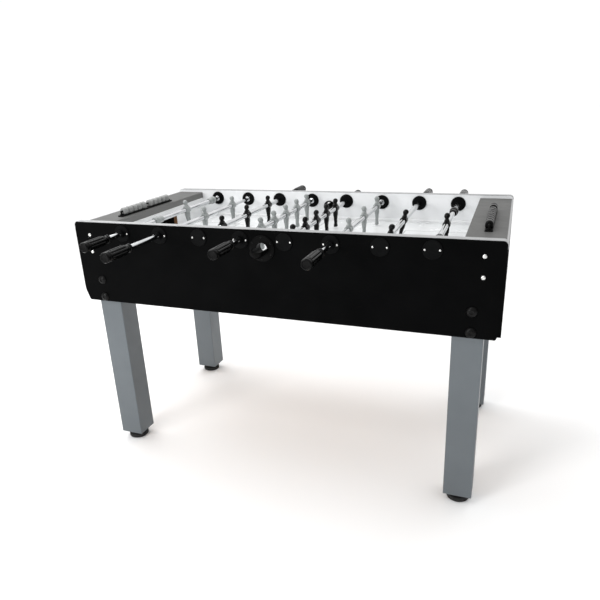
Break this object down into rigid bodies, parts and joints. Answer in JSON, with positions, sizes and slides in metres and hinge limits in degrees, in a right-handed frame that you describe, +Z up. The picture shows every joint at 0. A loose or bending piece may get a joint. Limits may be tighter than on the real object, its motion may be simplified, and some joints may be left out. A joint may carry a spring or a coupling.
{
  "type": "foosball table",
  "caption": "Full-size foosball table on square legs, with telescopic player rods that slide and spin, abacus scorers, ball entries, goals and levelling feet.",
  "frame": {"origin": "on the floor under the middle of the cabinet", "axes": "+X to the right along the table as seen by the side with the grey team's grips, +Y to the back, +Z up"},
  "size_m": [1.45, 1.271, 0.9085],
  "materials": {
    "black_laminate": "satin black laminate on board, white on the inner faces",
    "silver_trim": "satin silver edge strip",
    "raw_board": "plain board",
    "white_glass": "white frosted glass",
    "white_laminate": "satin white laminate",
    "grey_laminate": "matt grey laminate",
    "grey_lacquer": "metallic grey lacquer",
    "black_rubber": "matt",
    "black_plastic": "fine-grained moulded plastic",
    "gloss_black": "glossy moulded plastic",
    "grey_plastic": "semi-gloss moulded plastic",
    "grip_black": "satin moulded plastic",
    "bright_steel": "bright zinc",
    "chrome": "polished chrome"
  },
  "bodies": {
    "cabinet": {"front_panel": "black_laminate", "back_panel": "black_laminate", "left_end_panel": "black_laminate", "right_end_panel": "black_laminate", "rim_trims": "silver_trim", "bottom_board": "raw_board", "playfield_bed": "raw_board", "playfield_glass": "white_glass", "field_strips": "white_laminate", "battens": "raw_board", "goal_walls": "white_laminate", "goal_trays": "raw_board", "end_covers": "grey_laminate", "legs": "grey_lacquer", "dark_fasteners": "black_plastic", "bright_screws": "bright_steel", "rod_bushes": "black_plastic", "ball_entries": "black_plastic", "scorer_rails": "black_plastic", "scorer_wires": "chrome"},
    "rod_1_core": {"rod_1_core": "chrome"},
    "rod_1": {"rod_1_tube": "chrome", "rod_1_players": "grey_plastic", "rod_1_grip": "grip_black"},
    "rod_2_core": {"rod_2_core": "chrome"},
    "rod_2": {"rod_2_tube": "chrome", "rod_2_players": "grey_plastic", "rod_2_grip": "grip_black"},
    "rod_3_core": {"rod_3_core": "chrome"},
    "rod_3": {"rod_3_tube": "chrome", "rod_3_players": "gloss_black", "rod_3_grip": "grip_black"},
    "rod_4_core": {"rod_4_core": "chrome"},
    "rod_4": {"rod_4_tube": "chrome", "rod_4_players": "grey_plastic", "rod_4_grip": "grip_black"},
    "rod_5_core": {"rod_5_core": "chrome"},
    "rod_5": {"rod_5_tube": "chrome", "rod_5_players": "gloss_black", "rod_5_grip": "grip_black"},
    "rod_6_core": {"rod_6_core": "chrome"},
    "rod_6": {"rod_6_tube": "chrome", "rod_6_players": "grey_plastic", "rod_6_grip": "grip_black"},
    "rod_7_core": {"rod_7_core": "chrome"},
    "rod_7": {"rod_7_tube": "chrome", "rod_7_players": "gloss_black", "rod_7_grip": "grip_black"},
    "rod_8_core": {"rod_8_core": "chrome"},
    "rod_8": {"rod_8_tube": "chrome", "rod_8_players": "gloss_black", "rod_8_grip": "grip_black"},
    "foot_front_left": {"foot_front_left": "black_rubber"},
    "foot_back_left": {"foot_back_left": "black_rubber"},
    "foot_front_right": {"foot_front_right": "black_rubber"},
    "foot_back_right": {"foot_back_right": "black_rubber"},
    "counters_left_front": {"counters_left_front": "grey_plastic"},
    "counters_left_rear": {"counters_left_rear": "grey_plastic"},
    "counters_right_front": {"counters_right_front": "black_plastic"},
    "counters_right_rear": {"counters_right_rear": "black_plastic"}
  },
  "joints": [
    {"name": "rod_1_turn", "type": "hinge", "parent": "cabinet", "child": "rod_1_core", "pos_m": [-0.525, 0, 0.854], "axis": [0, 1, 0], "continuous": true},
    {"name": "rod_1_slide", "type": "slide", "parent": "rod_1_core", "child": "rod_1", "axis": [0, 1, 0], "range_m": [-0.156, 0.032]},
    {"name": "rod_2_turn", "type": "hinge", "parent": "cabinet", "child": "rod_2_core", "pos_m": [-0.375, 0, 0.854], "axis": [0, 1, 0], "continuous": true},
    {"name": "rod_2_slide", "type": "slide", "parent": "rod_2_core", "child": "rod_2", "axis": [0, 1, 0], "range_m": [-0.2507, 0.1267]},
    {"name": "rod_3_turn", "type": "hinge", "parent": "cabinet", "child": "rod_3_core", "pos_m": [-0.225, 0, 0.854], "axis": [0, 1, 0], "continuous": true},
    {"name": "rod_3_slide", "type": "slide", "parent": "rod_3_core", "child": "rod_3", "axis": [0, 1, 0], "range_m": [-0.111, 0.097]},
    {"name": "rod_4_turn", "type": "hinge", "parent": "cabinet", "child": "rod_4_core", "pos_m": [-0.075, 0, 0.854], "axis": [0, 1, 0], "continuous": true},
    {"name": "rod_4_slide", "type": "slide", "parent": "rod_4_core", "child": "rod_4", "axis": [0, 1, 0], "range_m": [-0.108, 0.042]},
    {"name": "rod_5_turn", "type": "hinge", "parent": "cabinet", "child": "rod_5_core", "pos_m": [0.075, 0, 0.854], "axis": [0, 1, 0], "continuous": true},
    {"name": "rod_5_slide", "type": "slide", "parent": "rod_5_core", "child": "rod_5", "axis": [0, 1, 0], "range_m": [-0.024, 0.126]},
    {"name": "rod_6_turn", "type": "hinge", "parent": "cabinet", "child": "rod_6_core", "pos_m": [0.225, 0, 0.854], "axis": [0, 1, 0], "continuous": true},
    {"name": "rod_6_slide", "type": "slide", "parent": "rod_6_core", "child": "rod_6", "axis": [0, 1, 0], "range_m": [-0.147, 0.061]},
    {"name": "rod_7_turn", "type": "hinge", "parent": "cabinet", "child": "rod_7_core", "pos_m": [0.375, 0, 0.854], "axis": [0, 1, 0], "continuous": true},
    {"name": "rod_7_slide", "type": "slide", "parent": "rod_7_core", "child": "rod_7", "axis": [0, 1, 0], "range_m": [-0.0817, 0.2957]},
    {"name": "rod_8_turn", "type": "hinge", "parent": "cabinet", "child": "rod_8_core", "pos_m": [0.525, 0, 0.854], "axis": [0, 1, 0], "continuous": true},
    {"name": "rod_8_slide", "type": "slide", "parent": "rod_8_core", "child": "rod_8", "axis": [0, 1, 0], "range_m": [-0.062, 0.126]},
    {"name": "foot_front_left_level", "type": "slide", "parent": "cabinet", "child": "foot_front_left", "axis": [0, 0, 1], "range_m": [-0.02, 0]},
    {"name": "foot_back_left_level", "type": "slide", "parent": "cabinet", "child": "foot_back_left", "axis": [0, 0, 1], "range_m": [-0.02, 0]},
    {"name": "foot_front_right_level", "type": "slide", "parent": "cabinet", "child": "foot_front_right", "axis": [0, 0, 1], "range_m": [-0.02, 0]},
    {"name": "foot_back_right_level", "type": "slide", "parent": "cabinet", "child": "foot_back_right", "axis": [0, 0, 1], "range_m": [-0.02, 0]},
    {"name": "counters_left_front_slide", "type": "slide", "parent": "cabinet", "child": "counters_left_front", "axis": [0, 1, 0], "range_m": [0, 0.0108]},
    {"name": "counters_left_rear_slide", "type": "slide", "parent": "cabinet", "child": "counters_left_rear", "axis": [0, 1, 0], "range_m": [-0.0108, 0]},
    {"name": "counters_right_front_slide", "type": "slide", "parent": "cabinet", "child": "counters_right_front", "axis": [0, 1, 0], "range_m": [0, 0.0108]},
    {"name": "counters_right_rear_slide", "type": "slide", "parent": "cabinet", "child": "counters_right_rear", "axis": [0, 1, 0], "range_m": [-0.0108, 0]}
  ]
}
